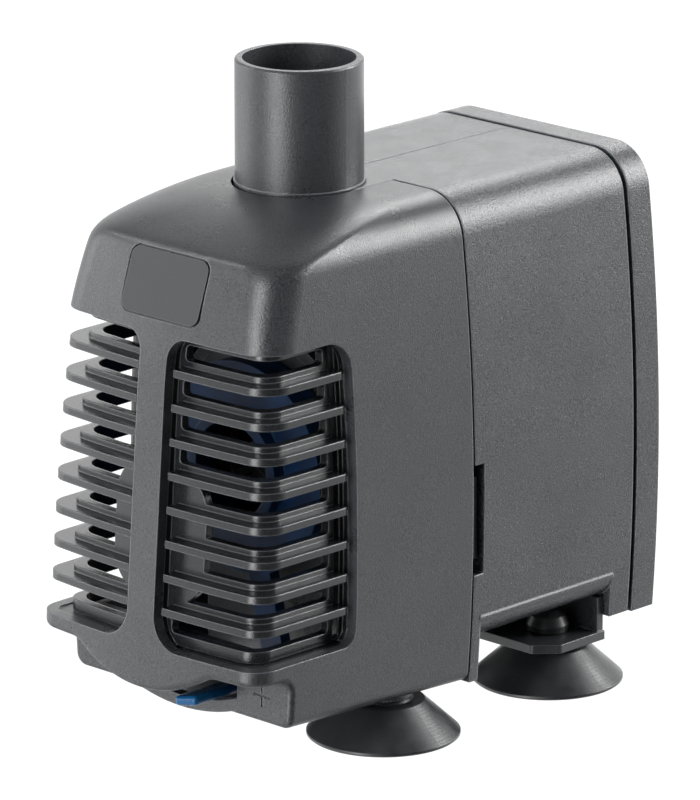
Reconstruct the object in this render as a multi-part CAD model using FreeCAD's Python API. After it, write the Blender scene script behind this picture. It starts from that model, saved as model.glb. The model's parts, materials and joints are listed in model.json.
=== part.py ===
"""Small submersible aquarium pump, one solid for every separate piece (millimetres, +Z up).

The intake grille faces -Y, the hose outlet points up, and the pump stands on the plane Z = 0.
The rotor, the impeller and the flow regulator all turn about one axis, parallel to Y.
"""
import FreeCAD, Part
import math
import os

V = FreeCAD.Vector
ALONG_Y = V(0, 1, 0)
UP = V(0, 0, 1)

# Housing outline, looking along Y
TOP_Z = 83.4
WIDEST_Z = 35.0
HALF_WIDTH = 24.55
SIDE_RADIUS = 341.0
TOP_CORNER = 7.0

# Stations along Y
COVER_BACK = 2.3
MOTOR_FRONT = 2.8
MOTOR_WALL = 2.0
MOTOR_FACE_BACK = 5.2
MOTOR_BACK = 38.6
REAR_COVER_FRONT = 39.5
REAR_COVER_BACK = 45.2

# Front cover: nose, hood, top bend and rounded corners
NOSE = V(0, -44.7, 19.0)
LOWER_LEAN = math.radians(4.3)
HOOD = V(0, -41.0, 67.0)
HOOD_LEAN = math.radians(18.5)
LEAN_BLEND = 70.0
CREASE_RADIUS = 2.4
TOP_BEND_Y = -13.0
TOP_BEND_RADIUS = 66.0
CROWN_RADIUS = 185.0
SIDE_TAPER = 0.016
CORNER_LOW = 4.2
CORNER_HIGH = 6.5
COVER_WALL = 1.9
LOW_LEVELS = (2, 12, 22, 32, 42, 50, 57, 61, 65, 69, 73, 76)
TOP_ANGLES = (8, 14, 20, 26, 32, 38, 45, 52, 60, 68, 76, 83, 90)

# Underside of the front cover
COVER_BOTTOM_BACK = 7.2
COVER_BOTTOM_FRONT = 8.6
BOTTOM_WALL = 1.8
LIP_BACK = -35.9
LIP_Z = 16.7
SILL_Z = 19.0
SILL_THICK = 1.6
PANEL_WALL = 1.9
TONGUE_BACK = -42.7
TONGUE_Z = 12.3
TONGUE_RADIUS = 24.3
TONGUE_ANGLE = math.radians(32)
LIP_CORNER = 2.5
PANEL_ROUND = 1.0
KEEL_ROUND = 2.0
MARK_X = 17.2
MARK_Z = 12.9
MARK_LENGTH = 3.6
MARK_WIDTH = 0.45
MARK_DEPTH = 0.3

# Intake windows, slots and fins
PILLAR_HALF = 2.8
WINDOW_BACK = -22.5
WINDOW_LOW = 19.2
WINDOW_HIGH = 66.6
FIN_COUNT = 8
FIN_TOP = 61.75
FIN_PITCH = 5.2
FIN_THICK = 1.15
FIN_START = 3.7
FIN_BACK = -23.5
FIN_TIP = 0.9
FIN_INSET = 0.75
BAND_ABOVE_FIN = 0.9
BAND_BELOW_FIN = 0.8
SLOT_START = 3.6
SLOT_BACK = -25.4
GRILLE_FRAME_INSET = 2.2
GRILLE_INSET = 3.2
GRILLE_WALL = 1.5
GRILLE_CORNER = 3.4
SIDE_GAP_FRONT = -24.4
SIDE_GAP_BACK = -23.2
GRILLE_BACK = -21.0
GRILLE_LOW = 19.3
GRILLE_HIGH = 69.0
GRILLE_LEVELS = (10, 18, 26, 34, 42, 50, 57, 61, 65, 69, 73)
BLANK_HALF = 9.5
BLANK_LOW = 25.6
BLANK_HIGH = 46.0
BLANK_ROUND = 6.0

# Hydraulics: turning axis, chamber, outlet pipe
AXIS_Z = 42.0
CHAMBER_RADIUS = 20.5
CHAMBER_BORE = 18.6
CHAMBER_FRONT = -17.5
CHAMBER_FLOOR = 0.6
CHAMBER_BACK = 2.7
SKIRT_HALF = 12.6
SKIRT_THICK = 1.6
SKIRT_BOTTOM = 7.8
PIPE_X = -2.75
PIPE_Y = -7.3
PIPE_FOOT_Z = 50.0
PIPE_TOP_Z = 102.5
PIPE_STEP_Z = 83.7
PIPE_FOOT_RADIUS = 10.0
PIPE_RADIUS = 9.8
PIPE_RIM = 0.4
PIPE_BORE = 8.64
PIPE_FOOT_BORE = 8.45
PIPE_GAP = 0.4
TONGUE_PLATE = 2.0
EAR_OFFSET = 16.5
EAR_RADIUS = 3.1
EAR_FRONT = -2.0
SCREW_RADIUS = 1.25
SCREW_HEAD_RADIUS = 2.4

# Flow regulator and its lever
COLLAR_RADIUS = 11.7
COLLAR_FRONT = -21.0
REGULATOR_FIT = 0.08
REGULATOR_RADIUS = 16.5
REGULATOR_FRONT = -22.8
REGULATOR_BACK = -18.0
INLET_RADIUS = 8.0
LEVER_ANGLE = 13.0
LEVER_LOW = 32.4
LEVER_HIGH = 30.9
LEVER_WIDTH = 4.6
LEVER_FRONT = -42.2
LEVER_SLOT_RADIUS = 33.0
LEVER_SLOT_HALF = 12.0
LEVER_SLOT_HIGH = 16.0
BULGE_RADIUS = 34.8
BULGE_HALF = 12.8
UNDERSIDE_HALF = 13.2

# Rotor
SHAFT_RADIUS = 1.5
RUNNING_FIT = 0.05
PRESS_GAP = 0.02
FRONT_BUSH_RADIUS = 2.6
REAR_BUSH_RADIUS = 3.4
MAGNET_RADIUS = 7.0
WELL_BORE = 7.9
WELL_RADIUS = 9.1
WELL_END = 33.0
IMPELLER_RADIUS = 13.5
BLADE_COUNT = 6

# Motor block underside, feet and suction cups
BLOCK_BOTTOM = 13.5
BLOCK_BOTTOM_ROUND = 3.4
RIDGE_LOW = 16.8
RIDGE_HIGH = 17.4
RIDGE_FRONT = 4.5
RIDGE_BACK = 34.6
RIDGE_PROUD = 0.25
SPINE_X = -2.3
SPINE_WIDTH = 0.25
SPINE_DEPTH = 0.15
FLANGE_BACK = 4.6
FLANGE_BOTTOM = 7.0
PEDESTAL_FRONT = 34.4
PEDESTAL_BOTTOM = 10.2
REAR_COVER_BOTTOM = 9.9
CUP_X = 16.1
CUP_FRONT_Y = -8.5
CUP_REAR_Y = 28.5
CUP_RADIUS = 11.8
CUP_TOP_RADIUS = 6.3
CUP_TOP_Z = 5.7
CUP_NECK = 2.9
FOOT_LOW = 6.4
FOOT_HIGH = 7.8
PAD_HIGH = 9.8
FOOT_HALF = 22.9
FOOT_FRONT = 20.8
FOOT_BACK = 34.2
FOOT_CORNER = 3.2


# ---------------------------------------------------------------- shape helpers

def box(x0, x1, y0, y1, z0, z1):
    """Solid block between two corners."""
    return Part.makeBox(x1 - x0, y1 - y0, z1 - z0, V(x0, y0, z0))


def rod(radius, y0, y1, x=0.0, z=AXIS_Z):
    """Solid cylinder along Y."""
    return Part.makeCylinder(radius, y1 - y0, V(x, y0, z), ALONG_Y)


def tube(outer, inner, y0, y1, x=0.0, z=AXIS_Z):
    """Hollow cylinder along Y."""
    return rod(outer, y0, y1, x, z).cut(rod(inner, y0 - 1, y1 + 1, x, z))


def post(radius, x, y, z0, z1):
    """Solid cylinder along Z."""
    return Part.makeCylinder(radius, z1 - z0, V(x, y, z0), UP)


def fused(shapes):
    """One solid out of overlapping shapes."""
    return shapes[0].multiFuse(shapes[1:]).removeSplitter()


def mirrored(shape):
    """The same shape on the other side of the middle plane."""
    return shape.mirror(V(0, 0, 0), V(1, 0, 0))


def rounded_outline(corners, place):
    """Closed outline through (u, v, radius) corners; place turns (u, v) into a point."""
    points = [V(u, v, 0) for u, v, _ in corners]
    runs = []
    for i, (here, corner) in enumerate(zip(points, corners)):
        before = (points[i - 1] - here).normalize()
        after = (points[(i + 1) % len(points)] - here).normalize()
        half = before.getAngle(after) / 2
        radius = corner[2]
        reach = radius / math.tan(half)
        centre = here + (before + after).normalize() * (radius / math.sin(half))
        middle = centre + (here - centre).normalize() * radius if radius > 0 else here
        runs.append([place(p.x, p.y) for p in (here + before * reach, middle, here + after * reach)])
    edges = []
    for run, following in zip(runs, runs[1:] + runs[:1]):
        if (run[0] - run[2]).Length > 1e-6:
            edges.append(Part.Arc(*run).toShape())
        if (run[2] - following[0]).Length > 1e-6:
            edges.append(Part.makeLine(run[2], following[0]))
    return Part.Wire(edges)


def prism_along_y(corners, y0, y1):
    """Solid with an outline given in X and Z, running along Y."""
    wire = rounded_outline(corners, lambda u, v: V(u, y0, v))
    return Part.Face(wire).extrude(V(0, y1 - y0, 0))


def prism_along_x(corners, x0, x1):
    """Solid with an outline given in Y and Z, running along X."""
    wire = rounded_outline(corners, lambda u, v: V(x0, u, v))
    return Part.Face(wire).extrude(V(x1 - x0, 0, 0))


def turned(profile, x=0.0, y=0.0):
    """Solid of revolution about a vertical line, from (radius, height) points."""
    points = [V(r, 0, z) for r, z in profile]
    face = Part.Face(Part.makePolygon(points + points[:1]))
    solid = face.revolve(V(0, 0, 0), UP, 360)
    solid.translate(V(x, y, 0))
    return solid


# ---------------------------------------------------------------- housing outline

def half_width(z, inset):
    """Half width of the housing at height z, measured inset millimetres inside its skin."""
    reach = SIDE_RADIUS - TOP_CORNER
    rise = TOP_Z - TOP_CORNER - WIDEST_Z
    run = math.sqrt(reach ** 2 - rise ** 2)
    side = HALF_WIDTH - SIDE_RADIUS
    if z > WIDEST_Z + rise * (SIDE_RADIUS - inset) / reach:
        corner = TOP_CORNER - inset
        return side + run + math.sqrt(max(corner ** 2 - (z - TOP_Z + TOP_CORNER) ** 2, 0))
    return side + math.sqrt((SIDE_RADIUS - inset) ** 2 - (z - WIDEST_Z) ** 2)


def housing_prism(bottom, y0, y1, inset=0.0):
    """Housing outline with a flat bottom, run along Y."""
    reach = SIDE_RADIUS - TOP_CORNER
    lift = math.asin((TOP_Z - TOP_CORNER - WIDEST_Z) / reach)
    corner_z = TOP_Z - TOP_CORNER
    shoulder_z = corner_z + (TOP_CORNER - inset) * math.sin(lift)
    mid_z = corner_z + (TOP_CORNER - inset) * math.sin((lift + math.pi / 2) / 2)
    heights = (bottom, WIDEST_Z, shoulder_z, mid_z, TOP_Z - inset)
    right = [V(half_width(z, inset), y0, z) for z in heights]
    left = [V(-p.x, p.y, p.z) for p in right]
    edges = [
        Part.Arc(*right[0:3]).toShape(),
        Part.Arc(*right[2:5]).toShape(),
        Part.makeLine(right[4], left[4]),
        Part.Arc(left[4], left[3], left[2]).toShape(),
        Part.Arc(left[2], left[1], left[0]).toShape(),
        Part.makeLine(left[0], right[0]),
    ]
    return Part.Face(Part.Wire(edges)).extrude(V(0, y1 - y0, 0))


# ---------------------------------------------------------------- front cover form

def rounding_centre(start, along, inward, radius, centre, outer):
    """Centre of a rounding between a straight line and the inside of a circle."""
    base = start + inward * radius - centre
    b = base.dot(along)
    c = base.dot(base) - (outer - radius) ** 2
    return centre + base + along * (-b + math.sqrt(b * b - c))


def front_y(z, inset):
    """Y of the cover's front on the middle plane: nose line, blend, hood line, crease, top bend."""
    hood_along = V(0, math.sin(HOOD_LEAN), math.cos(HOOD_LEAN))
    hood_in = V(0, math.cos(HOOD_LEAN), -math.sin(HOOD_LEAN))
    low_along = V(0, math.sin(LOWER_LEAN), math.cos(LOWER_LEAN))
    low_in = V(0, math.cos(LOWER_LEAN), -math.sin(LOWER_LEAN))
    hood = HOOD + hood_in * inset
    low = NOSE + low_in * inset
    bend = V(0, TOP_BEND_Y, TOP_Z - TOP_BEND_RADIUS)
    bend_radius = TOP_BEND_RADIUS - inset
    radius = max(CREASE_RADIUS - inset, 0.5)
    crease = rounding_centre(hood, hood_along, hood_in, radius, bend, bend_radius)
    if z >= (bend + (crease - bend) * (bend_radius / (bend_radius - radius))).z:
        return bend.y - math.sqrt(max(bend_radius ** 2 - (z - bend.z) ** 2, 0))
    if z >= (crease - hood_in * radius).z:
        return crease.y - math.sqrt(radius ** 2 - (z - crease.z) ** 2)
    steep = math.tan(HOOD_LEAN)
    gentle = math.tan(LOWER_LEAN)
    meet_z = (low.y - hood.y - low.z * gentle + hood.z * steep) / (steep - gentle)
    meet = V(0, low.y + (meet_z - low.z) * gentle, meet_z)
    blend = LEAN_BLEND - inset
    reach = blend * math.tan((HOOD_LEAN - LOWER_LEAN) / 2)
    if z >= (meet + hood_along * reach).z:
        return hood.y + (z - hood.z) * steep
    blend_start = meet - low_along * reach
    if z >= blend_start.z:
        centre = blend_start + low_in * blend
        return centre.y - math.sqrt(blend ** 2 - (z - centre.z) ** 2)
    return low.y + (z - low.z) * gentle


def plan_wire(z, inset, least_corner):
    """Level outline of the front cover at height z, squared off behind the seam."""
    slope = math.hypot(1, SIDE_TAPER)
    along = V(-SIDE_TAPER / slope, -1 / slope, 0)
    inward = V(-1 / slope, SIDE_TAPER / slope, 0)
    back = 12.0
    start = V(half_width(z, inset) + SIDE_TAPER * back, back, 0)
    nose = front_y(z, inset)
    crown_radius = CROWN_RADIUS - inset
    crown = V(0, nose + crown_radius, 0)
    share = min(max((z - NOSE.z) / (TOP_Z - NOSE.z), 0), 1)
    radius = CORNER_LOW + (CORNER_HIGH - CORNER_LOW) * share + 1.1 * max(0, z - 77)
    radius = max(radius - inset, least_corner)
    centre = rounding_centre(start, along, inward, radius, crown, crown_radius)
    side = centre - inward * radius
    front = crown + (centre - crown) * (crown_radius / (crown_radius - radius))
    middle = centre + ((side + front) * 0.5 - centre).normalize() * radius
    right = [p + UP * z for p in (start, side, middle, front)]
    left = [V(-p.x, p.y, p.z) for p in right]
    return Part.Wire([
        Part.makeLine(right[0], right[1]),
        Part.Arc(right[1], right[2], right[3]).toShape(),
        Part.Arc(right[3], V(0, nose, z), left[3]).toShape(),
        Part.Arc(left[3], left[2], left[1]).toShape(),
        Part.makeLine(left[1], left[0]),
        Part.makeLine(left[0], right[0]),
    ])


def front_form(inset):
    """Closed form of the front cover, every skin moved inward by inset."""
    corner = TOP_CORNER - inset
    centre_z = TOP_Z - TOP_CORNER
    high = [centre_z + corner * math.sin(math.radians(a)) for a in TOP_ANGLES]
    levels = [z for z in LOW_LEVELS if z < high[0] - 0.8] + high
    return Part.makeLoft([plan_wire(z, inset, 1.2) for z in levels], True, False)


def front_band(inset):
    """Form of the front cover at window height only."""
    wires = [plan_wire(z, inset, GRILLE_CORNER) for z in GRILLE_LEVELS]
    return Part.makeLoft(wires, True, False)


def window(start, back, low, high, pillar_low, pillar_high, rear_low, rear_high):
    """Opening that starts beside the middle and wraps round the right-hand corner."""
    face = prism_along_y([(start, low, pillar_low), (60, low, 0), (60, high, 0),
                          (start, high, pillar_high)], -60, back + 1)
    side = prism_along_x([(-60, low, 0), (back, low, rear_low), (back, high, rear_high),
                          (-60, high, 0)], 0, 60)
    return face.common(side)


# ---------------------------------------------------------------- front cover

def lip_cut():
    """Everything below the lip's wavy lower edge, seen from the front."""
    side_x = TONGUE_RADIUS * math.sin(TONGUE_ANGLE)
    side_z = TONGUE_Z + TONGUE_RADIUS * (1 - math.cos(TONGUE_ANGLE))
    blend = (LIP_Z - side_z) / (1 - math.cos(TONGUE_ANGLE))
    flat_x = side_x + blend * math.sin(TONGUE_ANGLE)
    half = TONGUE_ANGLE / 2
    right = [
        (side_x, side_z),
        (flat_x - blend * math.sin(half), LIP_Z - blend * (1 - math.cos(half))),
        (flat_x, LIP_Z),
        (40, LIP_Z),
        (40, -5),
    ]
    y = -60
    r = [V(x, y, z) for x, z in right]
    m = [V(-x, y, z) for x, z in right]
    edges = [
        Part.Arc(m[0], V(0, y, TONGUE_Z), r[0]).toShape(),
        Part.Arc(r[0], r[1], r[2]).toShape(),
        Part.makeLine(r[2], r[3]),
        Part.makeLine(r[3], r[4]),
        Part.makeLine(r[4], m[4]),
        Part.makeLine(m[4], m[3]),
        Part.makeLine(m[3], m[2]),
        Part.Arc(m[2], m[1], m[0]).toShape(),
    ]
    return Part.Face(Part.Wire(edges)).extrude(V(0, TONGUE_BACK + 0.5 - y, 0))


def lip_hollow():
    """Space behind the tongue, with a rounded inner corner between lip and recessed panel."""
    outline = [(TONGUE_BACK, -5, 0), (LIP_BACK, -5, 0), (LIP_BACK, LIP_Z, LIP_CORNER),
               (TONGUE_BACK, LIP_Z, 0)]
    return prism_along_x(outline, -40, 40)


def panel_edges(body):
    """Outer edges of the recessed panel, up into the rounded inner corner."""
    edges = []
    for edge in body.Edges:
        reach = edge.BoundBox
        outside = min(abs(reach.XMin), abs(reach.XMax)) > 22
        near_panel = LIP_BACK - LIP_CORNER - 0.1 < reach.YMin and reach.YMax < LIP_BACK + 0.1
        if outside and near_panel and reach.ZMax < LIP_Z + 0.1 and reach.ZLength > 1.5:
            edges.append(edge)
    return edges


def keel_edges(body):
    """Long lower edges of the cover, left and right."""
    edges = []
    for edge in body.Edges:
        reach = edge.BoundBox
        outside = min(abs(reach.XMin), abs(reach.XMax)) > 20
        if outside and reach.ZMax < COVER_BOTTOM_FRONT + 0.1 and reach.YLength > 20:
            edges.append(edge)
    return edges


def cover_cavity():
    """Space inside the front cover."""
    floor = BOTTOM_WALL
    panel_back = LIP_BACK + PANEL_WALL
    outline = [(12, COVER_BOTTOM_BACK + floor, 0), (panel_back, COVER_BOTTOM_FRONT + floor, 0),
               (panel_back, SILL_Z, 0), (-60, SILL_Z, 0), (-60, 90, 0), (12, 90, 0)]
    return front_form(COVER_WALL).common(prism_along_x(outline, -40, 40))


def sill_shelf():
    """Ledge inside the windows' lower edge that the grille stands on."""
    ring = front_band(1.0).cut(front_band(GRILLE_INSET + GRILLE_WALL + 0.6))
    return ring.common(box(-40, 40, LIP_BACK, WINDOW_BACK + 1, SILL_Z - SILL_THICK, SILL_Z))


def pipe_slot():
    """Slot in the cover's top, open to the rear, that clears the outlet pipe."""
    radius = PIPE_FOOT_RADIUS + PIPE_GAP
    bend = post(radius, PIPE_X, PIPE_Y, 70, 90)
    return bend.fuse(box(PIPE_X - radius, PIPE_X + radius, PIPE_Y, 10, 70, 90))


def lever_slot():
    """Curved slot in the recessed panel for the regulator lever."""
    sweep = rod(LEVER_SLOT_RADIUS, LIP_BACK - 1, LIP_BACK + PANEL_WALL + 1)
    return sweep.common(box(-LEVER_SLOT_HALF, LEVER_SLOT_HALF, -60, 0, 0, LEVER_SLOT_HIGH))


def flow_marks():
    """Sunk plus and minus signs beside the lever."""
    reach = MARK_LENGTH / 2
    half = MARK_WIDTH / 2
    y0 = LIP_BACK - 1
    y1 = LIP_BACK + MARK_DEPTH
    plus_level = box(MARK_X - reach, MARK_X + reach, y0, y1, MARK_Z - half, MARK_Z + half)
    plus_upright = box(MARK_X - half, MARK_X + half, y0, y1, MARK_Z - reach, MARK_Z + reach)
    minus = mirrored(plus_level)
    return [plus_level, plus_upright, minus]


def label_frame(shape):
    """Move a shape drawn round the origin onto the sloping hood."""
    z = 73.65
    shape.rotate(V(0, 0, 0), V(1, 0, 0), -math.degrees(HOOD_LEAN))
    shape.translate(V(0, front_y(z, 0), z))
    return shape


def label_block(width, height, radius, front, back):
    """Rounded rectangle on the hood, between two depths behind the skin."""
    u = width / 2
    v = height / 2
    corners = [(-u, -v, radius), (u, -v, radius), (u, v, radius), (-u, v, radius)]
    return label_frame(prism_along_y(corners, front, back))


def front_cover():
    """Shell with two intake windows, hood, tongue, recessed panel and pads for two cups."""
    outline = [(COVER_BACK, COVER_BOTTOM_BACK, 0), (LIP_BACK, COVER_BOTTOM_FRONT, 0),
               (-60, COVER_BOTTOM_FRONT, 0), (-60, 90, 0), (COVER_BACK, 90, 0)]
    body = front_form(0).common(prism_along_x(outline, -40, 40))
    body = body.makeFillet(KEEL_ROUND, keel_edges(body)).cut(cover_cavity())
    opening = window(PILLAR_HALF, WINDOW_BACK, WINDOW_LOW, WINDOW_HIGH, 5.0, 3.4, 2.6, 5.0)
    panel_back = LIP_BACK + PANEL_WALL
    body = body.cut([opening, mirrored(opening), lip_cut(), lip_hollow(), pipe_slot()])
    body = body.makeFillet(PANEL_ROUND, panel_edges(body))
    bulge = rod(BULGE_RADIUS, LIP_BACK, panel_back)
    bulge = bulge.common(box(-BULGE_HALF, BULGE_HALF, -60, 0, 0, 11))
    pads = [post(4.6, x, CUP_FRONT_Y, FOOT_LOW, PAD_HIGH) for x in (-CUP_X, CUP_X)]
    latch = box(21.3, 23.3, -8, 4.4, 26.6, 39.5)
    body = fused([body, bulge, latch, mirrored(latch), sill_shelf()] + pads)
    holes = [post(CUP_NECK + 0.05, x, CUP_FRONT_Y, 0, 12) for x in (-CUP_X, CUP_X)]
    underside = box(-UNDERSIDE_HALF, UNDERSIDE_HALF, panel_back, 10, 0, 13)
    label_pocket = label_block(16.7, 10.4, 1.9, -3, 0.75)
    cuts = [lever_slot(), underside, label_pocket] + flow_marks() + holes
    return body.cut(cuts)


def label_plate():
    """Blank label glued into its pocket."""
    return label_block(16.1, 9.8, 1.6, 0.12, 0.7)


# ---------------------------------------------------------------- intake grille

def slot_cutter(low, high):
    """One intake slot on the right, cut short where it would reach the blank middle."""
    corners = [(-BLANK_HALF, BLANK_LOW), (BLANK_HALF, BLANK_LOW),
               (BLANK_HALF, BLANK_HIGH), (-BLANK_HALF, BLANK_HIGH)]
    blank = prism_along_y([(x, z, BLANK_ROUND) for x, z in corners], -60, -20)
    return window(SLOT_START, SLOT_BACK, low, high, 0.7, 0.7, 0.7, 0.7).cut(blank)


def louvre_fin(ring, top):
    """One fin on the right, its free end rounded off."""
    fin = ring.common(box(FIN_START, 40, -60, FIN_BACK, top - FIN_THICK, top))
    tips = [e for e in fin.Edges if e.BoundBox.XMin > 21 and e.BoundBox.YLength < 0.01
            and e.BoundBox.XLength < 0.2 and abs(e.BoundBox.YMax - FIN_BACK) < 0.01]
    return fin.makeFillet(FIN_TIP, tips)


def intake_grille():
    """Louvred insert: slotted wall, eight fins a side and a frame behind the cover."""
    wall_outer = front_band(GRILLE_INSET)
    wall_inner = front_band(GRILLE_INSET + GRILLE_WALL)
    area = box(-40, 40, -60, GRILLE_BACK, GRILLE_LOW, GRILLE_HIGH)
    wall = wall_outer.cut(wall_inner).common(area)
    frame = front_band(GRILLE_FRAME_INSET).cut(front_band(GRILLE_INSET + 0.2)).common(area)
    pocket = window(PILLAR_HALF - 0.3, WINDOW_BACK + 0.2, WINDOW_LOW - 0.5, WINDOW_HIGH + 0.3,
                    5.0, 3.4, 2.6, 5.0)
    frame = frame.cut([pocket, mirrored(pocket)])
    fin_ring = front_band(FIN_INSET).cut(front_band(GRILLE_INSET + 0.2))
    fins = []
    slots = []
    for i in range(FIN_COUNT + 1):
        top = FIN_TOP - FIN_PITCH * i
        if i < FIN_COUNT:
            fin = louvre_fin(fin_ring, top)
            fins += [fin, mirrored(fin)]
        slot_top = top + FIN_PITCH - FIN_THICK - BAND_BELOW_FIN
        slots.append(slot_cutter(top + BAND_ABOVE_FIN, slot_top))
    side_gap = box(15, 40, SIDE_GAP_FRONT, SIDE_GAP_BACK, WINDOW_LOW + 0.6, WINDOW_HIGH - 0.8)
    cuts = slots + [side_gap]
    cuts += [mirrored(cut) for cut in cuts]
    return fused([wall.cut(cuts), frame] + fins)


# ---------------------------------------------------------------- flow regulator

def flow_regulator():
    """Blue dial round the pump inlet with the lever that sticks out below the cover."""
    dial = tube(REGULATOR_RADIUS, COLLAR_RADIUS + REGULATOR_FIT, REGULATOR_FRONT, REGULATOR_BACK)
    face = tube(COLLAR_RADIUS + 1, INLET_RADIUS - 0.5, REGULATOR_FRONT, COLLAR_FRONT - 0.4)
    funnel = tube(INLET_RADIUS + 1.2, INLET_RADIUS - 0.5, REGULATOR_FRONT - 2.2, REGULATOR_FRONT + 0.5)
    half = LEVER_WIDTH / 2
    arm = box(-half, half, REGULATOR_FRONT, REGULATOR_FRONT + 2.0,
              AXIS_Z - LEVER_LOW, AXIS_Z - REGULATOR_RADIUS + 1.0)
    bar = prism_along_y([(-half, AXIS_Z - LEVER_LOW, 0.6), (half, AXIS_Z - LEVER_LOW, 0.6),
                         (half, AXIS_Z - LEVER_HIGH, 0.6), (-half, AXIS_Z - LEVER_HIGH, 0.6)],
                        LEVER_FRONT, REGULATOR_FRONT + 1.0)
    rounded = [e for e in bar.Edges if e.BoundBox.YMax < LEVER_FRONT + 0.01]
    bar = bar.makeFillet(0.7, rounded)
    lever = fused([arm, bar])
    lever.rotate(V(0, 0, AXIS_Z), ALONG_Y, -LEVER_ANGLE)
    return fused([dial, face, funnel, lever])


# ---------------------------------------------------------------- pump chamber

def ear_places():
    """Centres of the four fixing ears round the chamber."""
    return [(sx * EAR_OFFSET, AXIS_Z + sz * EAR_OFFSET) for sx in (-1, 1) for sz in (-1, 1)]


def pump_chamber():
    """Round chamber with the hose outlet, a skirt that screens the underside and four fixing ears."""
    drum = rod(CHAMBER_RADIUS, CHAMBER_FRONT, CHAMBER_BACK)
    foot = post(PIPE_FOOT_RADIUS, PIPE_X, PIPE_Y, PIPE_FOOT_Z, PIPE_STEP_Z)
    spout = post(PIPE_RADIUS, PIPE_X, PIPE_Y, PIPE_STEP_Z, PIPE_TOP_Z)
    rim = [e for e in spout.Edges if e.BoundBox.ZMin > PIPE_TOP_Z - 0.1]
    spout = spout.makeFillet(PIPE_RIM, rim)
    ears = []
    for x, z in ear_places():
        ears.append(rod(EAR_RADIUS, EAR_FRONT, CHAMBER_BACK, x, z))
        arm_x = sorted((x, x * 0.6))
        ears.append(box(arm_x[0], arm_x[1], EAR_FRONT, CHAMBER_BACK, z - EAR_RADIUS, z + EAR_RADIUS))
    skirt = box(-SKIRT_HALF, SKIRT_HALF, CHAMBER_FRONT, CHAMBER_FRONT + SKIRT_THICK,
                SKIRT_BOTTOM, AXIS_Z - CHAMBER_BORE)
    body = fused([drum, foot, spout, skirt] + ears)
    cuts = [rod(CHAMBER_BORE, CHAMBER_FRONT - 1, CHAMBER_FLOOR), rod(3.7, -1, 4)]
    cuts.append(post(PIPE_FOOT_BORE, PIPE_X, PIPE_Y, PIPE_FOOT_Z - 6, PIPE_STEP_Z + 0.5))
    cuts.append(post(PIPE_BORE, PIPE_X, PIPE_Y, PIPE_STEP_Z, PIPE_TOP_Z + 1))
    cuts += [rod(SCREW_RADIUS + 0.15, EAR_FRONT - 1, 4, x, z) for x, z in ear_places()]
    return body.cut(cuts)


def chamber_cover():
    """Front plate of the chamber: inlet, spokes, bearing seat and the collar the dial turns on."""
    plate = tube(CHAMBER_BORE - 0.1, INLET_RADIUS, -17.3, -15.5)
    collar = tube(COLLAR_RADIUS, COLLAR_RADIUS - 1.4, COLLAR_FRONT, -17.0)
    hub = tube(3.9, FRONT_BUSH_RADIUS + PRESS_GAP, -17.3, -13.8)
    spokes = []
    for i in range(3):
        spoke = box(-0.7, 0.7, -17.3, -15.5, AXIS_Z + 3.3, AXIS_Z + INLET_RADIUS + 0.5)
        spoke.rotate(V(0, 0, AXIS_Z), ALONG_Y, 120 * i)
        spokes.append(spoke)
    return fused([plate, collar, hub] + spokes)


def chamber_seal():
    """O-ring behind the chamber's front plate."""
    return Part.makeTorus(17.6, 0.8, V(0, -14.65, AXIS_Z), ALONG_Y)


def chamber_screws():
    """Four equal screws through the ears."""
    screws = []
    for x, z in ear_places():
        head = rod(SCREW_HEAD_RADIUS, EAR_FRONT - 1.9, EAR_FRONT - 0.05, x, z)
        shank = rod(SCREW_RADIUS, EAR_FRONT - 0.5, 5.0, x, z)
        cross = [box(x - 1.3, x + 1.3, -4.2, -3.2, z - 0.3, z + 0.3),
                 box(x - 0.3, x + 0.3, -4.2, -3.2, z - 1.3, z + 1.3)]
        screws.append(head.fuse(shank).cut(cross))
    return Part.makeCompound(screws)


# ---------------------------------------------------------------- rotor

def impeller():
    """Bladed wheel with its back plate and the hub that joins the magnet."""
    hub = rod(3.0, -12.6, 5.4)
    plate = rod(IMPELLER_RADIUS, -3.4, -2.2)
    blades = []
    for i in range(BLADE_COUNT):
        blade = box(-0.6, 0.6, -12.0, -3.0, AXIS_Z + 2.5, AXIS_Z + IMPELLER_RADIUS)
        blade.rotate(V(0, 0, AXIS_Z), ALONG_Y, 360.0 / BLADE_COUNT * i)
        blades.append(blade)
    return fused([hub, plate] + blades).cut(rod(SHAFT_RADIUS + RUNNING_FIT, -20, 10))


def magnet_rotor():
    """Cylindrical magnet that spins in the well."""
    magnet = rod(MAGNET_RADIUS, 5.45, 28.5)
    ends = [e for e in magnet.Edges if e.BoundBox.YLength < 0.01]
    return magnet.makeChamfer(0.5, ends).cut(rod(SHAFT_RADIUS + RUNNING_FIT, 0, 40))


def rotor_shaft():
    """Fixed steel pin the rotor runs on."""
    return rod(SHAFT_RADIUS, -16.4, 31.2)


def bearing(y0, y1, bore_end, outer):
    """Rubber bush with a blind bore for one end of the shaft."""
    solid = rod(outer, y0, y1)
    return solid.cut(rod(SHAFT_RADIUS + PRESS_GAP, *bore_end))


def rotor_end_cap():
    """Ring that closes the well behind the impeller."""
    return tube(WELL_BORE - 0.05, 3.5, 3.0, 4.9)


# ---------------------------------------------------------------- motor block

def motor_tongue():
    """Part of the block's top that reaches forward beside the outlet pipe."""
    half = PIPE_FOOT_RADIUS
    plate = box(PIPE_X - half, PIPE_X + half, PIPE_Y, MOTOR_FACE_BACK, TOP_Z - TONGUE_PLATE, TOP_Z)
    return plate.cut(post(PIPE_FOOT_RADIUS + 0.02, PIPE_X, PIPE_Y, 70, 90))


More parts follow.
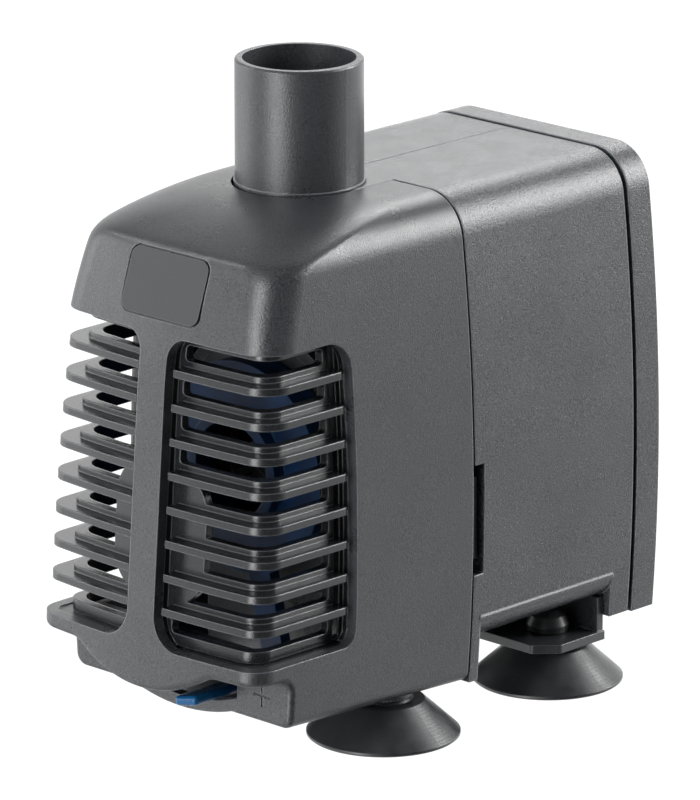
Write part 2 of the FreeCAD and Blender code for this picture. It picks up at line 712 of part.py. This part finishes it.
def motor_housing():
    """Block with the rotor well, front flange, rear pedestal, tongue and foot boss."""
    block = housing_prism(BLOCK_BOTTOM, MOTOR_FRONT, MOTOR_BACK)
    keel = [e for e in block.Edges
            if e.BoundBox.YLength > 30 and e.BoundBox.ZMax < BLOCK_BOTTOM + 0.1]
    block = block.makeFillet(BLOCK_BOTTOM_ROUND, keel)
    flange = housing_prism(FLANGE_BOTTOM, MOTOR_FRONT, FLANGE_BACK)
    pedestal = housing_prism(PEDESTAL_BOTTOM, PEDESTAL_FRONT, MOTOR_BACK)
    cavity = housing_prism(BLOCK_BOTTOM + MOTOR_WALL, MOTOR_FACE_BACK, MOTOR_BACK + 1, MOTOR_WALL)
    well = rod(WELL_RADIUS, MOTOR_FRONT, WELL_END)
    boss = post(4.5, 0, 27.0, FOOT_HIGH + 0.05, BLOCK_BOTTOM + 0.5)
    ridge = housing_prism(BLOCK_BOTTOM, RIDGE_FRONT, RIDGE_BACK, -RIDGE_PROUD)
    ridge = ridge.common(box(-40, 40, 0, 40, RIDGE_LOW, RIDGE_HIGH))
    solid = fused([block, flange, pedestal, ridge]).cut(cavity)
    solid = fused([solid, well, motor_tongue(), boss])
    spine = box(SPINE_X - SPINE_WIDTH / 2, SPINE_X + SPINE_WIDTH / 2, 3.5, 40,
                TOP_Z - SPINE_DEPTH, TOP_Z + 1)
    seat = tube(5.2, REAR_BUSH_RADIUS + PRESS_GAP, 29.6, WELL_END - 1.0)
    latch = box(20.6, 40, MOTOR_FRONT - 1, 4.9, 24.3, 41.8)
    cuts = [rod(WELL_BORE, MOTOR_FRONT - 1, WELL_END - 1.2), latch, mirrored(latch), spine]
    cuts.append(post(1.3, 0, 27.0, 0, 13.0))
    cuts += [rod(SCREW_RADIUS + 0.02, 0, 5.1, x, z) for x, z in ear_places()]
    return fused([solid.cut(cuts), seat])


def stator_core():
    """Laminated iron yoke: two legs with pole shoes round the well, joined at the top."""
    y0 = 10.0
    y1 = 27.0
    leg = box(9.5, 16.5, y0, y1, 30, 77)
    shoe = box(4.5, 10.0, y0, y1, 33, 51)
    yoke = box(-16.5, 16.5, y0, y1, 70, 77)
    iron = fused([leg, shoe, mirrored(leg), mirrored(shoe), yoke])
    return iron.cut(rod(WELL_RADIUS + RUNNING_FIT, 0, 40))


def coil_ring(grow, low, high, wall):
    """Rectangular ring round the right-hand leg, grown outward by grow."""
    x0 = 9.5 - grow
    x1 = 16.5 + grow
    ring = box(x0, x1, 10 - grow, 27 + grow, low, high)
    return ring.cut(box(x0 + wall, x1 - wall, 10 - grow + wall, 27 + grow - wall, low - 1, high + 1))


def coil_bobbins():
    """Two plastic bobbins, one on each leg."""
    spool = coil_ring(1.0, 53.0, 68.6, 0.9)
    rims = [coil_ring(3.4, z, z + 1.0, 2.6) for z in (53.0, 67.6)]
    bobbin = fused([spool] + rims)
    return Part.makeCompound([bobbin, mirrored(bobbin)])


def coil_windings():
    """Copper windings on the bobbins."""
    coil = coil_ring(3.1, 54.05, 67.55, 2.05)
    return Part.makeCompound([coil, mirrored(coil)])


def potting_block():
    """Resin that seals the wire ends behind the well."""
    slab = housing_prism(BLOCK_BOTTOM + MOTOR_WALL + 0.1, 31.0, 36.4, MOTOR_WALL + 0.05)
    return slab.cut(rod(WELL_RADIUS + RUNNING_FIT, 30, WELL_END + 0.1))


def rear_cover():
    """Cap with a spigot that plugs the open back of the block."""
    cap = housing_prism(REAR_COVER_BOTTOM, REAR_COVER_FRONT, REAR_COVER_BACK, -0.1)
    edges = [e for e in cap.Edges if e.BoundBox.YMin > REAR_COVER_BACK - 0.1]
    cap = cap.makeChamfer(0.8, edges)
    spigot_low = BLOCK_BOTTOM + MOTOR_WALL + 0.2
    spigot = housing_prism(spigot_low, 37.0, REAR_COVER_FRONT + 1, MOTOR_WALL + 0.15)
    hollow = housing_prism(spigot_low + 1.5, 36, REAR_COVER_BACK - 2.0, MOTOR_WALL + 1.6)
    body = fused([cap, spigot]).cut(hollow)
    return body.cut([rod(4.0, 40, 50, z=24.0)])


def rear_seal():
    """Black gasket that fills the joint in front of the rear cover."""
    outer = housing_prism(REAR_COVER_BOTTOM + 1.2, MOTOR_BACK + 0.02, REAR_COVER_FRONT - 0.02, 0.9)
    inner = housing_prism(BLOCK_BOTTOM + MOTOR_WALL + 0.1, MOTOR_BACK - 1, REAR_COVER_FRONT + 1,
                          MOTOR_WALL + 0.05)
    return outer.cut(inner)


def cable_grommet():
    """Rubber grommet in the cable inlet."""
    sleeve = rod(3.98, 42.4, REAR_COVER_BACK, z=24.0)
    flange = rod(5.4, 41.6, 43.15, z=24.0)
    return fused([sleeve, flange]).cut(rod(3.0, 40, 50, z=24.0))


# ---------------------------------------------------------------- feet

def rear_foot_plate():
    """Plate under the motor block that carries two cups, with an upright at its back."""
    cut_back = FOOT_FRONT + FOOT_CORNER
    cut_in = FOOT_HALF - FOOT_CORNER
    corners = [(-cut_in, FOOT_FRONT, 1.0), (cut_in, FOOT_FRONT, 1.0), (FOOT_HALF, cut_back, 1.0),
               (FOOT_HALF, FOOT_BACK, 0), (-FOOT_HALF, FOOT_BACK, 0), (-FOOT_HALF, cut_back, 1.0)]
    outline = rounded_outline(corners, lambda u, v: V(u, v, FOOT_LOW))
    plate = Part.Face(outline).extrude(V(0, 0, FOOT_HIGH - FOOT_LOW))
    upright = box(-FOOT_HALF + 0.4, FOOT_HALF - 0.4, FOOT_BACK - 1.3, FOOT_BACK, FOOT_LOW, 13.3)
    holes = [post(CUP_NECK + 0.05, x, CUP_REAR_Y, 0, 12) for x in (-CUP_X, CUP_X)]
    return fused([plate, upright]).cut(holes + [post(1.6, 0, 27.0, 0, 12)])


def foot_screw():
    """Screw that holds the rear foot plate."""
    head = post(2.8, 0, 27.0, FOOT_LOW - 1.9, FOOT_LOW - 0.05)
    shank = post(1.25, 0, 27.0, FOOT_LOW - 0.5, 12.8)
    cross = [box(-1.5, 1.5, 26.65, 27.35, 4, 5.2), box(-0.35, 0.35, 25.5, 28.5, 4, 5.2)]
    return head.fuse(shank).cut(cross)


def suction_cup(x, y, seat):
    """Rubber cup with a neck pulled through its seat and a bulb above it."""
    skirt = [(10.8, 0), (11.5, 0), (CUP_RADIUS, 0.25), (CUP_RADIUS, 0.6),
             (CUP_TOP_RADIUS, CUP_TOP_Z), (4.6, CUP_TOP_Z + 0.1), (4.2, FOOT_LOW - 0.05)]
    neck = [(CUP_NECK, FOOT_LOW - 0.05), (CUP_NECK, seat + 0.05)]
    bulb = [(3.3, seat + 0.1), (3.4, seat + 1.2), (2.8, seat + 2.6), (1.6, seat + 3.6),
            (0, seat + 3.8)]
    hollow = [(0, 3.4), (4.5, 2.9)]
    return turned(skirt + neck + bulb + hollow, x, y)


def write(name, shape):
    """Save one piece."""
    shape.exportStep("parts/" + name + ".step")


def main():
    os.makedirs("parts", exist_ok=True)
    pieces = {
        "front_cover": front_cover(),
        "label_plate": label_plate(),
        "intake_grille": intake_grille(),
        "flow_regulator": flow_regulator(),
        "pump_chamber": pump_chamber(),
        "chamber_cover": chamber_cover(),
        "chamber_seal": chamber_seal(),
        "chamber_screws": chamber_screws(),
        "impeller": impeller(),
        "magnet_rotor": magnet_rotor(),
        "rotor_shaft": rotor_shaft(),
        "front_bearing": bearing(-17.2, -14.2, (-16.45, -10), FRONT_BUSH_RADIUS),
        "rear_bearing": bearing(29.2, 31.75, (20, 31.25), REAR_BUSH_RADIUS),
        "rotor_end_cap": rotor_end_cap(),
        "motor_housing": motor_housing(),
        "stator_core": stator_core(),
        "coil_bobbins": coil_bobbins(),
        "coil_windings": coil_windings(),
        "potting_block": potting_block(),
        "rear_cover": rear_cover(),
        "rear_seal": rear_seal(),
        "cable_grommet": cable_grommet(),
        "rear_foot_plate": rear_foot_plate(),
        "foot_screw": foot_screw(),
    }
    places = {"left": -CUP_X, "right": CUP_X}
    for side, x in places.items():
        pieces["front_cup_" + side] = suction_cup(x, CUP_FRONT_Y, PAD_HIGH)
        pieces["rear_cup_" + side] = suction_cup(x, CUP_REAR_Y, FOOT_HIGH)
    for name, shape in pieces.items():
        write(name, shape)


main()
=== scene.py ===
"""Looks of a small submersible aquarium pump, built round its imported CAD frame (metres, +Z up)."""
import json
import math

import bpy
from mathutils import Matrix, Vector


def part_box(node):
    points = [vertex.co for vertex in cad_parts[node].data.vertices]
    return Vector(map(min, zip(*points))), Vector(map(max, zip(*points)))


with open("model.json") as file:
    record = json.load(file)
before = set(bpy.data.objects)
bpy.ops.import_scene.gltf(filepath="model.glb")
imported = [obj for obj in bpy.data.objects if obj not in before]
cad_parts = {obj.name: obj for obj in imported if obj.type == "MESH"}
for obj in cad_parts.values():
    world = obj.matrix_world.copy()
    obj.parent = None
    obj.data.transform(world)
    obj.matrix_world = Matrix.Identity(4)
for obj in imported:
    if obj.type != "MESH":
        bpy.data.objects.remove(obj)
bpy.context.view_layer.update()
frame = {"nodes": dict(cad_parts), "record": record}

MM = 0.001

# Sockets of Blender's mix node when it mixes colours
MIX_SHARE = 0
MIX_FIRST = 6
MIX_SECOND = 7
MIX_COLOUR = 2

# The values between which most of a noise lies
NOISE_LOW = 0.3
NOISE_HIGH = 0.7

# Length of one wave of Blender's wave texture at scale 1
WAVE_LENGTH = math.pi / 10

# Painted edge highlight: cosine of the angle between the rounded normal and the face's own, where
# the painted highlight starts and where it is full
EDGE_STARTS = 0.96
EDGE_FULL = 0.86
EDGE_SAMPLES = 6

# Moulded plastic: sizes in millimetres, and tones as multiples of the plastic's own colour
CLOUD_SIZE = 14.0
CLOUD_SHARE = 0.15
MOTTLE_LOW = 0.34
MOTTLE_HIGH = 0.66
SHEEN_SIZE = 5.0
SHEEN_SPREAD = 0.03
# Tone of the pale paint on sharp edges, a painted highlight
EDGE_HIGHLIGHT_TONE = 9.0

# Specks in it: their spacing, and how far from its middle a speck is full and has faded out, as
# shares of the spacing
SPECK_SPACING = 1.1
SPECK_FULL = 0.07
SPECK_GONE = 0.10
SPECK_TONE = 5.0

# Stretch of the lever over which it turns paler, a painted light on the tip outside the cover, in
# millimetres from its end
PALER_FROM = 8.2
PALER_TO = 3.2

# Camera: metres, and degrees (0 in front of the pump, 90 on its right)
CAMERA_AIM = (0, 0.00084, 0.04758)
CAMERA_DISTANCE = 1.071
CAMERA_AZIMUTH = 44.0
CAMERA_ELEVATION = 16.4
CAMERA_LENS = 315.0
CAMERA_SENSOR = 36.0
CAMERA_REACH = 50.0

# Softboxes: name, direction from the pump, width and height in metres, and brightness
LIGHT_AIM = (0, 0, 0.05)
LIGHT_DISTANCE = 1.2
SOFTBOXES = (
    ("right_back", (0.545, 0.839, 0.440), 0.62, 0.70, 15.0),
    ("top_strip", (-0.373, 0.690, 0.62), 0.5, 0.13, 21.0),
    ("left_strip", (-0.66, -0.28, 0.69), 0.4, 0.20, 9.5),
    ("left_panel", (-0.87, -0.48, 0.15), 0.60, 0.50, 2.2),
    ("front_strip", (0.13, -0.94, 0.32), 0.17, 0.42, 16.0),
)

# Brightness of the surroundings: by angle round the pump, and by angle above the horizon
WORLD_PEAK = 9.0
AROUND = ((-180, 1.7), (-136, 2.2), (-118, 1.4), (-100, 1.2), (-84, 1.95), (-68, 2.8),
          (-53, 2.5), (-45, 1.78), (-28, 1.35), (-14, 1.6), (-5, 8.2), (11, 8.8), (19, 2.2),
          (31, 0.4), (48, 0.14), (95, 0.14), (112, 0.5), (128, 1.3), (142, 2.0), (180, 1.75))
UPWARD = ((-90, 0.3), (-45, 0.36), (-24, 0.74), (-18, 0.84), (-10, 0.88), (2, 0.78), (21, 0.76),
          (28, 0.4), (50, 0.35), (70, 0.2), (90, 0.12))

FLOOR_SIZE = 8.0
FLOOR_GLOW = 1.05


# ---------------------------------------------------------------- node helpers

class Look:
    """One material, with short calls for wiring its nodes. Sizes are in millimetres."""

    def __init__(self, name):
        self.material = bpy.data.materials.new(name)
        self.material.use_nodes = True
        self.tree = self.material.node_tree
        self.shader = next(n for n in self.tree.nodes if n.type == "BSDF_PRINCIPLED")
        self.place = self.node("ShaderNodeTexCoord").outputs["Object"]

    def node(self, kind, inputs=None, **settings):
        """A new node with its settings made and its inputs filled or linked."""
        made = self.tree.nodes.new(kind)
        for key, value in settings.items():
            setattr(made, key, value)
        for key, value in (inputs or {}).items():
            self.put(made.inputs[key], value)
        return made

    def put(self, socket, value):
        """Set a socket, or link it where value is another node's output."""
        if isinstance(value, bpy.types.NodeSocket):
            self.tree.links.new(value, socket)
        else:
            socket.default_value = value

    def stretched(self, scale):
        """Object coordinates stretched along each axis."""
        return self.node("ShaderNodeMapping", {"Vector": self.place, "Scale": scale}).outputs[0]

    def noise(self, size, detail=3.0, rough=0.55, place=None):
        """Cloudy noise whose features are about size millimetres wide."""
        made = self.node("ShaderNodeTexNoise", {
            "Vector": place or self.place, "Scale": 1 / (size * MM), "Detail": detail,
            "Roughness": rough})
        return made.outputs[0]

    def cells(self, size):
        """Distance to the nearest of many scattered points, for specks."""
        made = self.node("ShaderNodeTexVoronoi", {"Vector": self.place, "Scale": 1 / (size * MM)})
        return made.outputs["Distance"]

    def waves(self, size, axis, distortion):
        """Lines across the axis, size millimetres apart."""
        made = self.node("ShaderNodeTexWave", {
            "Vector": self.place, "Scale": WAVE_LENGTH / (size * MM),
            "Distortion": distortion, "Detail": 1.0}, bands_direction=axis)
        return made.outputs["Fac"]

    def span(self, value, low, high, out_low=0.0, out_high=1.0):
        """Value stretched from low..high to out_low..out_high and clamped."""
        made = self.node("ShaderNodeMapRange", {
            "Value": value, "From Min": low, "From Max": high, "To Min": out_low,
            "To Max": out_high})
        return made.outputs[0]

    def spread(self, noise, out_low=0.0, out_high=1.0):
        """Noise stretched from its usual values to out_low..out_high."""
        return self.span(noise, NOISE_LOW, NOISE_HIGH, out_low, out_high)

    def maths(self, operation, first, second):
        """One arithmetic step."""
        made = self.node("ShaderNodeMath", operation=operation)
        self.put(made.inputs[0], first)
        self.put(made.inputs[1], second)
        return made.outputs[0]

    def times(self, value, factor):
        """Value multiplied by factor."""
        return self.maths("MULTIPLY", value, factor)

    def plus(self, first, second):
        """Two values added."""
        return self.maths("ADD", first, second)

    def mix(self, share, first, second):
        """Colour between first and second."""
        made = self.node("ShaderNodeMix", {
            MIX_SHARE: share, MIX_FIRST: first, MIX_SECOND: second}, data_type="RGBA")
        return made.outputs[MIX_COLOUR]

    def rounded(self, radius):
        """Normal that rounds the sharp edges of a part."""
        made = self.node("ShaderNodeBevel", {"Radius": radius * MM}, samples=EDGE_SAMPLES)
        return made.outputs[0]

    def edges(self, rounded):
        """1 on sharp edges and 0 on open faces."""
        flat = self.node("ShaderNodeNewGeometry").outputs["Normal"]
        made = self.node("ShaderNodeVectorMath", operation="DOT_PRODUCT")
        self.put(made.inputs[0], rounded)
        self.put(made.inputs[1], flat)
        return self.span(made.outputs["Value"], EDGE_STARTS, EDGE_FULL)

    def bump(self, height, depth, normal=None):
        """Normal pushed about by height, depth millimetres high."""
        inputs = {"Height": height, "Distance": depth * MM, "Strength": 1.0}
        if normal is not None:
            inputs["Normal"] = normal
        return self.node("ShaderNodeBump", inputs).outputs[0]

    def finish(self, colour, roughness, normal, **others):
        """Wire up the shader. The others are named as its sockets are, with _ for a space."""
        self.put(self.shader.inputs["Base Color"], colour)
        self.put(self.shader.inputs["Roughness"], roughness)
        self.put(self.shader.inputs["Normal"], normal)
        for key, value in others.items():
            self.put(self.shader.inputs[key.replace("_", " ")], value)
        return self.material


def shaded(colour, factor):
    """Linear RGB colour made lighter or darker."""
    return tuple(min(c * factor, 1.0) for c in colour)


def tone(colour, factor=1.0):
    """RGBA of a linear RGB colour made lighter or darker."""
    return shaded(colour, factor) + (1.0,)


# ---------------------------------------------------------------- materials

def moulded(name, colour, rough, grain, depth, edge=0.2, contrast=0.3, specks=0.0, gloss=0.5,
            edge_highlight=0.55):
    """Moulded plastic: cloudy tone, fine eroded grain, sharp edges painted pale as a painted
    highlight, and a few pale specks.
    """
    look = Look(name)
    fine = look.noise(grain, 2.0, 0.7)
    mottled = look.plus(look.times(look.noise(CLOUD_SIZE), CLOUD_SHARE),
                        look.times(fine, 1 - CLOUD_SHARE))
    base = look.mix(look.span(mottled, MOTTLE_LOW, MOTTLE_HIGH), tone(colour, 1 - contrast),
                    tone(colour, 1 + contrast))
    normal = look.rounded(edge)
    # Sharp edges painted pale: a painted highlight
    base = look.mix(look.times(look.edges(normal), edge_highlight), base, tone(colour, EDGE_HIGHLIGHT_TONE))
    if specks:
        points = look.span(look.cells(SPECK_SPACING), SPECK_GONE, SPECK_FULL)
        base = look.mix(look.times(points, specks), base, tone(colour, SPECK_TONE))
    roughness = look.spread(look.noise(SHEEN_SIZE, 4.0), rough - SHEEN_SPREAD,
                            rough + SHEEN_SPREAD)
    return look.finish(base, roughness, look.bump(fine, depth, normal), Specular_IOR_Level=gloss)


def glossy_blue(name):
    """Blue moulded plastic of the flow regulator: dark navy inside the cover, partly its own colour
    and partly painted shade, and paler at the lever tip outside it as painted light.
    """
    look = Look(name)
    # Dark navy inside the cover: partly the blue's own colour, partly painted shade
    deep = (0.0007, 0.009, 0.034)
    bright = (0.0012, 0.026, 0.085)
    # Paler blue of the lever tip outside the cover: painted light
    lit_tip_blue = (0.001, 0.055, 0.150)
    # Paler blue that the sharp edges are mixed towards
    pale_edge_blue = (0.005, 0.13, 0.32)
    lever_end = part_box("flow_regulator")[0].y
    place = look.node("ShaderNodeSeparateXYZ", {0: look.place})
    tip = look.span(place.outputs["Y"], lever_end + PALER_FROM * MM, lever_end + PALER_TO * MM)
    normal = look.rounded(0.35)
    base = look.mix(look.spread(look.noise(6.0)), tone(deep), tone(bright))
    # Paler towards the lever tip: painted light
    base = look.mix(tip, base, tone(lit_tip_blue))
    # Paler on its sharp edges
    base = look.mix(look.times(look.edges(normal), 0.3), base, tone(pale_edge_blue))
    film = look.spread(look.noise(1.5, 4.0), 0.0, 0.1)
    roughness = look.plus(film, look.span(tip, 0.0, 1.0, 0.42, 0.16))
    return look.finish(base, roughness, look.bump(look.noise(0.4, 2.0), 0.012, normal),
                       Specular_IOR_Level=0.3)


def cup_rubber(name):
    """Near-black moulded rubber with the mould's fine turning lines and a little dust."""
    look = Look(name)
    shade = (0.0140, 0.0150, 0.0165)
    dusty = (0.25, 0.26, 0.27)
    base = look.mix(look.spread(look.noise(4.0)), tone(shade, 0.8), tone(shade, 1.5))
    dust = look.span(look.noise(0.35, 2.0), 0.62, 0.80)
    base = look.mix(look.times(dust, 0.10), base, tone(dusty))
    lines = look.waves(0.42, "Z", 1.2)
    grit = look.noise(0.25, 2.0)
    height = look.plus(look.times(lines, 0.25), look.times(grit, 0.5))
    roughness = look.spread(look.noise(2.5, 4.0), 0.30, 0.44)
    return look.finish(base, roughness, look.bump(height, 0.012, look.rounded(0.25)))


def seal_rubber(name):
    """Matt black rubber with a faint bloom."""
    look = Look(name)
    shade = (0.006, 0.006, 0.0065)
    bloom = look.span(look.noise(2.2, 4.0), 0.45, 0.75)
    base = look.mix(look.times(bloom, 0.25), tone(shade), tone(shade, 4.0))
    roughness = look.spread(look.noise(1.0), 0.55, 0.72)
    return look.finish(base, roughness, look.bump(look.noise(0.2, 2.0), 0.008, look.rounded(0.15)))


def turned_steel(name, axis):
    """Stainless steel with fine machining lines and a few scratches."""
    look = Look(name)
    shade = (0.50, 0.50, 0.49)
    lines = look.waves(0.09, axis, 1.5)
    smear = look.spread(look.noise(1.8, 4.0))
    base = look.mix(smear, tone(shade, 0.82), tone(shade, 1.12))
    scratch = look.span(look.noise(0.25, 2.0, place=look.stretched((1.0, 1.0, 0.12))), 0.66, 0.72)
    base = look.mix(look.times(scratch, 0.3), base, tone(shade, 1.5))
    roughness = look.span(lines, 0.0, 1.0, 0.22, 0.36)
    normal = look.bump(lines, 0.002, look.rounded(0.12))
    return look.finish(base, roughness, normal, Metallic=1.0)


def ferrite(name):
    """Ground ceramic magnet, dark grey with a mottled sheen."""
    look = Look(name)
    shade = (0.030, 0.031, 0.034)
    lines = look.waves(0.16, "Y", 2.0)
    mottle = look.noise(0.9, 4.0)
    base = look.mix(look.spread(mottle), tone(shade, 0.7), tone(shade, 1.6))
    roughness = look.spread(mottle, 0.34, 0.5)
    normal = look.bump(look.plus(lines, mottle), 0.004, look.rounded(0.2))
    return look.finish(base, roughness, normal, Metallic=0.6)


def laminations(name):
    """Stack of thin varnished steel sheets, seen edge on as fine lines across the core."""
    look = Look(name)
    shade = (0.16, 0.165, 0.18)
    varnish = (0.10, 0.055, 0.03)
    sheets = look.waves(0.5, "Y", 0.05)
    stain = look.noise(3.0, 4.0)
    base = look.mix(look.span(sheets, 0.2, 0.8), tone(shade, 0.45), tone(shade, 1.2))
    base = look.mix(look.span(stain, 0.55, 0.8, 0.0, 0.5), base, tone(varnish))
    roughness = look.spread(stain, 0.32, 0.5)
    return look.finish(base, roughness, look.bump(sheets, 0.05, look.rounded(0.15)), Metallic=0.85)


def windings(name):
    """Enamelled copper wire laid side by side round each bobbin."""
    look = Look(name)
    shade = (0.42, 0.145, 0.045)
    turns = look.waves(0.32, "X", 0.25)
    tint = look.noise(2.5)
    base = look.mix(look.span(turns, 0.0, 0.7), tone(shade, 0.35), tone(shade, 1.25))
    base = look.mix(look.span(tint, 0.4, 0.8, 0.0, 0.5), base, tone(shade, 0.7))
    roughness = look.spread(tint, 0.2, 0.34)
    return look.finish(base, roughness, look.bump(turns, 0.12), Metallic=0.7)


def resin(name):
    """Black casting resin with a few small bubbles."""
    look = Look(name)
    shade = (0.010, 0.010, 0.011)
    bubbles = look.span(look.cells(3.2), 0.10, 0.05)
    swirl = look.noise(7.0)
    base = look.mix(look.spread(swirl), tone(shade, 0.7), tone(shade, 1.7))
    roughness = look.spread(swirl, 0.10, 0.24)
    return look.finish(base, roughness, look.bump(bubbles, -0.15))


def make_looks():
    """Every material slot of the record and its material."""
    anthracite = (0.0290, 0.0318, 0.0350)
    pale = (0.60, 0.605, 0.62)
    ivory = (0.55, 0.50, 0.40)
    return {
        "housing_plastic": moulded("housing_plastic", shaded(anthracite, 0.94), rough=0.29,
                                   grain=0.25, depth=0.050, edge=0.3, contrast=0.7, specks=0.35),
        # Same anthracite made 1.2 times lighter: painted light on the motor block's top
        "motor_plastic": moulded("motor_plastic", shaded(anthracite, 1.2), rough=0.23,
                                 grain=0.25, depth=0.075, edge=0.45, contrast=0.9, specks=0.7),
        # Same anthracite darkened to 0.42: painted shade on the fins in their recess, with the full
        # painted edge highlight
        "grille_plastic": moulded("grille_plastic", shaded(anthracite, 0.42), rough=0.15,
                                  grain=0.25, depth=0.025, edge=0.35, contrast=0.45, specks=0.3,
                                  edge_highlight=1.0),
        "chamber_plastic": moulded("chamber_plastic", anthracite, rough=0.29, grain=0.26,
                                   depth=0.045, contrast=0.4, specks=0.25),
        "foot_plastic": moulded("foot_plastic", shaded(anthracite, 0.8), rough=0.30, grain=0.3,
                                depth=0.03),
        "label_face": moulded("label_face", shaded(anthracite, 0.75), rough=0.30, grain=0.5,
                              depth=0.003, edge=0.15, contrast=0.05, gloss=0.4),
        "dial_blue": glossy_blue("dial_blue"),
        "impeller_plastic": moulded("impeller_plastic", pale, rough=0.32, grain=0.4, depth=0.006,
                                    contrast=0.06),
        "bobbin_plastic": moulded("bobbin_plastic", ivory, rough=0.42, grain=0.4, depth=0.008),
        "seal_rubber": seal_rubber("seal_rubber"),
        "cup_rubber": cup_rubber("cup_rubber"),
        "screw_steel": turned_steel("screw_steel", "Z"),
        "shaft_steel": turned_steel("shaft_steel", "Y"),
        "magnet_ferrite": ferrite("magnet_ferrite"),
        "core_iron": laminations("core_iron"),
        "winding_copper": windings("winding_copper"),
        "potting_resin": resin("potting_resin"),
    }


def dress(looks):
    """Give every CAD node the material of its slot."""
    for part in frame["record"]["subparts"]:
        mesh = frame["nodes"][part["node"]].data
        mesh.materials.clear()
        mesh.materials.append(looks[part["material_slot"]])


# ---------------------------------------------------------------- studio

def studio_floor():
    """White floor that runs out of sight. It backs the picture; the surroundings light the pump."""
    bpy.ops.mesh.primitive_plane_add(size=FLOOR_SIZE, location=(0, 0, 0))
    floor = bpy.context.object
    floor.name = "studio_floor"
    look = Look("studio_floor")
    white = (1.0, 1.0, 1.0)
    cloud = look.noise(400.0, 2.0)
    glow = look.mix(cloud, tone(white, 0.98), tone(white))
    base = look.mix(cloud, tone(white, 0.02), tone(white, 0.03))
    look.finish(base, 0.9, look.bump(look.noise(3.0), 0.02), Emission_Color=glow,
                Emission_Strength=FLOOR_GLOW)
    floor.data.materials.append(look.material)
    floor.visible_glossy = False
    floor.visible_diffuse = False


def softbox(name, direction, width, height, radiance):
    """Area light that faces the pump; radiance is its brightness."""
    data = bpy.data.lights.new(name, "AREA")
    data.shape = "RECTANGLE"
    data.size = width
    data.size_y = height
    data.energy = radiance * math.pi * width * height
    light = bpy.data.objects.new(name, data)
    bpy.context.scene.collection.objects.link(light)
    out = Vector(direction).normalized()
    light.location = Vector(LIGHT_AIM) + out * LIGHT_DISTANCE
    light.rotation_euler = (-out).to_track_quat("-Z", "Y").to_euler()
    light.visible_camera = False


def ramp(tree, value, stops):
    """Brightness that runs through (position, brightness) stops."""
    made = tree.nodes.new("ShaderNodeValToRGB")
    tree.links.new(value, made.inputs[0])
    elements = made.color_ramp.elements
    while len(elements) < len(stops):
        elements.new(0.5)
    for element, (position, level) in zip(elements, stops):
        element.position = position
        element.color = (level, level, level, 1.0)
    return made.outputs["Color"]


def zero_to_one(tree, value, low, high):
    """Value stretched from low..high to 0..1."""
    made = tree.nodes.new("ShaderNodeMapRange")
    tree.links.new(value, made.inputs["Value"])
    made.inputs["From Min"].default_value = low
    made.inputs["From Max"].default_value = high
    return made.outputs[0]


def angle_round(tree, x, y):
    """Angle round the pump in radians: 0 in front of it (-Y), growing towards its right (+X)."""
    ahead = tree.nodes.new("ShaderNodeMath")
    ahead.operation = "MULTIPLY"
    tree.links.new(y, ahead.inputs[0])
    ahead.inputs[1].default_value = -1.0
    angle = tree.nodes.new("ShaderNodeMath")
    angle.operation = "ARCTAN2"
    tree.links.new(x, angle.inputs[0])
    tree.links.new(ahead.outputs[0], angle.inputs[1])
    return angle.outputs[0]


def studio_world():
    """Surroundings: pale walls, a bright strip in front, a dark bay on the right, dim overhead."""
    world = bpy.data.worlds.new("studio")
    bpy.context.scene.world = world
    world.use_nodes = True
    world.cycles.sampling_method = "NONE"
    tree = world.node_tree
    place = tree.nodes.new("ShaderNodeTexCoord")
    split = tree.nodes.new("ShaderNodeSeparateXYZ")
    tree.links.new(place.outputs["Generated"], split.inputs[0])
    angle = angle_round(tree, split.outputs["X"], split.outputs["Y"])
    around = ramp(tree, zero_to_one(tree, angle, -math.pi, math.pi),
                  [(0.5 + azimuth / 360, level / WORLD_PEAK) for azimuth, level in AROUND])
    upward = ramp(tree, zero_to_one(tree, split.outputs["Z"], -1.0, 1.0),
                  [(0.5 + math.sin(math.radians(rise)) / 2, level) for rise, level in UPWARD])
    both = tree.nodes.new("ShaderNodeMix")
    both.data_type = "RGBA"
    both.blend_type = "MULTIPLY"
    both.inputs[MIX_SHARE].default_value = 1.0
    tree.links.new(around, both.inputs[MIX_FIRST])
    tree.links.new(upward, both.inputs[MIX_SECOND])
    background = tree.nodes["Background"]
    tree.links.new(both.outputs[MIX_COLOUR], background.inputs["Color"])
    background.inputs["Strength"].default_value = WORLD_PEAK


def studio_camera():
    """Long-lens camera in front of the pump's right-hand corner, a little above it."""
    data = bpy.data.cameras.new("camera")
    data.lens = CAMERA_LENS
    data.sensor_width = CAMERA_SENSOR
    data.clip_end = CAMERA_REACH
    camera = bpy.data.objects.new("camera", data)
    bpy.context.scene.collection.objects.link(camera)
    azimuth = math.radians(CAMERA_AZIMUTH)
    elevation = math.radians(CAMERA_ELEVATION)
    back = Vector((math.sin(azimuth) * math.cos(elevation),
                   -math.cos(azimuth) * math.cos(elevation), math.sin(elevation)))
    camera.location = Vector(CAMERA_AIM) + back * CAMERA_DISTANCE
    camera.rotation_euler = (-back).to_track_quat("-Z", "Y").to_euler()
    bpy.context.scene.camera = camera
    bpy.context.scene.view_settings.view_transform = "Standard"


def studio():
    """Floor, surroundings, lights and camera."""
    studio_floor()
    studio_world()
    for box in SOFTBOXES:
        softbox(*box)
    studio_camera()


dress(make_looks())
studio()
